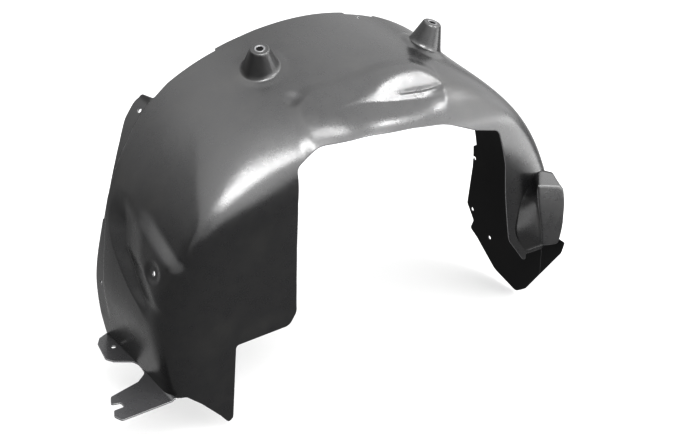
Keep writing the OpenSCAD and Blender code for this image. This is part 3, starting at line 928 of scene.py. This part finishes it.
# A copy of the plastic with a lower IOR, so it reflects less: painted shade on the underside faces.
mat_shaded_in = mat.copy()
mat_shaded_in.name = "moulded_plastic_inside_shaded"
mat_shaded_in.node_tree.nodes["Principled BSDF"].inputs["IOR"].default_value = 1.2
for ob in pieces:
    ob.data.materials.append(mat)
    ob.data.materials.append(mat_shaded_in)
    deep = np.zeros(len(ob.data.vertices), np.float32)
    ob.data.attributes["inside"].data.foreach_get("value", deep)
    # Faces whose points are all inside take the darker copy: painted shade on the underside.
    ob.data.polygons.foreach_set("material_index", [int(all(deep[v] > 0.5 for v in f.vertices)) for f in ob.data.polygons])
    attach(ob, "root")
    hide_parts("wheel_arch_liner")

# ------------------------------------------------------------------ floor, light, camera
FLOOR_Z = (-184.0 - TOP_A[2]) / 1000 - 0.002
fl = bpy.data.meshes.new("floor")
S = 9.0
fl.from_pydata([(-S, -S, FLOOR_Z), (S, -S, FLOOR_Z), (S, S, FLOOR_Z), (-S, S, FLOOR_Z)], [], [(0, 1, 2, 3)])
floor = bpy.data.objects.new("floor", fl)
bpy.context.scene.collection.objects.link(floor)
fm = bpy.data.materials.new("floor_paint")
fm.use_nodes = True
paint = fm.node_tree.nodes["Principled BSDF"]
paint.inputs["Base Color"].default_value = (0.09, 0.09, 0.09, 1)
paint.inputs["Roughness"].default_value = 0.9
paint.inputs["Specular IOR Level"].default_value = 0.0
paint.inputs["Emission Color"].default_value = (1, 1, 1, 1)
paint.inputs["Emission Strength"].default_value = 0.46
fl.materials.append(fm)

scene = bpy.context.scene
AZ, EL, DIST, FPX = math.radians(-33), math.radians(31), 2500.0, 1600.0
cr = np.array([math.cos(AZ), math.sin(AZ), 0])
cd = np.array([-math.sin(AZ) * math.cos(EL), math.cos(AZ) * math.cos(EL), -math.sin(EL)])
cu = np.cross(cr, cd)
target = 24 * cr + 55.5 * cu
eye = (target - DIST * cd - TOP_A) / 1000
cam_data = bpy.data.cameras.new("camera")
cam_data.sensor_width = 36
cam_data.lens = 36 * FPX / 700
cam_data.clip_start, cam_data.clip_end = 0.05, 50
cam = bpy.data.objects.new("camera", cam_data)
scene.collection.objects.link(cam)
cam.matrix_world = Matrix(((cr[0], cu[0], -cd[0], eye[0]), (cr[1], cu[1], -cd[1], eye[1]), (cr[2], cu[2], -cd[2], eye[2]), (0, 0, 0, 1)))
scene.camera = cam

# the studio: wide soft glows on dark walls, seen in the plastic's gloss, and six softboxes
world = bpy.data.worlds.new("studio")
scene.world = world
world.use_nodes = True
wt = world.node_tree
sky = wt.nodes["Background"]
around = wt.nodes.new("ShaderNodeTexCoord").outputs["Generated"]
# direction and radiance of each glow
GLOWS = [((0.98, 0.00, 0.17), 1.7), ((0.89, 0.43, 0.17), 0.7), ((0.22, 0.96, 0.17), 1.0), ((-0.61, 0.77, 0.17), 1.5), ((-0.89, -0.43, 0.17), 3.7),
         ((-0.22, -0.96, 0.17), 2.0), ((0.22, -0.96, 0.17), 4.9), ((0.61, -0.77, 0.17), 5.4), ((0.89, -0.43, 0.17), 4.1), ((0.78, 0.23, 0.59), 2.3),
         ((0.53, 0.61, 0.59), 0.9), ((-0.34, 0.74, 0.59), 1.0), ((-0.68, 0.44, 0.59), 1.2), ((-0.81, 0.00, 0.59), 0.6), ((-0.68, -0.44, 0.59), 0.3),
         ((-0.34, -0.74, 0.59), 2.2), ((0.12, -0.80, 0.59), 5.0), ((0.53, -0.61, 0.59), 1.9), ((0.78, -0.23, 0.59), 1.5), ((0.47, 0.00, 0.88), 2.5),
         ((0.29, 0.37, 0.88), 1.4), ((-0.10, 0.46, 0.88), 2.1), ((-0.42, 0.20, 0.88), 5.0), ((-0.42, -0.20, 0.88), 3.8), ((-0.10, -0.46, 0.88), 3.8),
         ((0.29, -0.37, 0.88), 3.0)]
glow = 0.05
for direction, value in GLOWS:
    dot = wt.nodes.new("ShaderNodeVectorMath")
    dot.operation = "DOT_PRODUCT"
    dot.inputs[1].default_value = tuple(unit(direction))
    wt.links.new(around, dot.inputs[0])
    glow = add(wt, ramp(wt, dot.outputs["Value"], math.cos(math.radians(42)), math.cos(math.radians(4)), 0.0, value), glow)
wt.links.new(glow, sky.inputs["Color"])
sky.inputs["Strength"].default_value = 1.0
scene.view_settings.view_transform = "Standard"
scene.view_settings.gamma = 0.68


def softbox(name, direction, along, centre, size_x, size_y, radiance, dist=2300.0):
    """A rectangular light seen from centre (mm about the wheel centre), its x side turned along; radiance in W/m2/sr."""
    ld = bpy.data.lights.new(name, "AREA")
    ld.shape = "RECTANGLE"
    ld.size, ld.size_y = size_x, size_y
    ld.energy = radiance * math.pi * size_x * size_y
    ob = bpy.data.objects.new(name, ld)
    scene.collection.objects.link(ob)
    ob.visible_camera = False
    d = unit(direction)
    x = unit(np.array(along, float) - np.dot(along, d) * d)
    y = np.cross(d, x)
    at = (np.array(centre, float) + d * dist - TOP_A) / 1000
    ob.matrix_world = Matrix([(x[i], y[i], d[i], at[i]) for i in range(3)] + [(0, 0, 0, 1)])


softbox("key_left", (-0.21, -0.56, 0.80), (0.36, -0.69, -0.30), (-190, -95, 240), 1.5, 0.62, 48)
softbox("key_right", (0.68, -0.29, 0.68), (1, 0, 0), (80, -65, 290), 0.36, 0.34, 88)
softbox("key_middle", (0.20, -0.30, 0.93), (0, 1, 0), (-85, -100, 272), 0.60, 0.42, 52)
softbox("key_front", (0.45, -0.72, 0.53), (1, 0, 0), (150, -100, 200), 0.36, 0.36, 70)
softbox("low_flank", (-0.718, -0.466, -0.515), (0.55, -0.83, 0), (285, -120, 20), 0.24, 0.12, 6.5, 260.0)
softbox("low_right", (0.74, -0.67, -0.02), (0.67, 0.74, 0), (300, -100, 40), 0.50, 0.50, 11, 540.0)
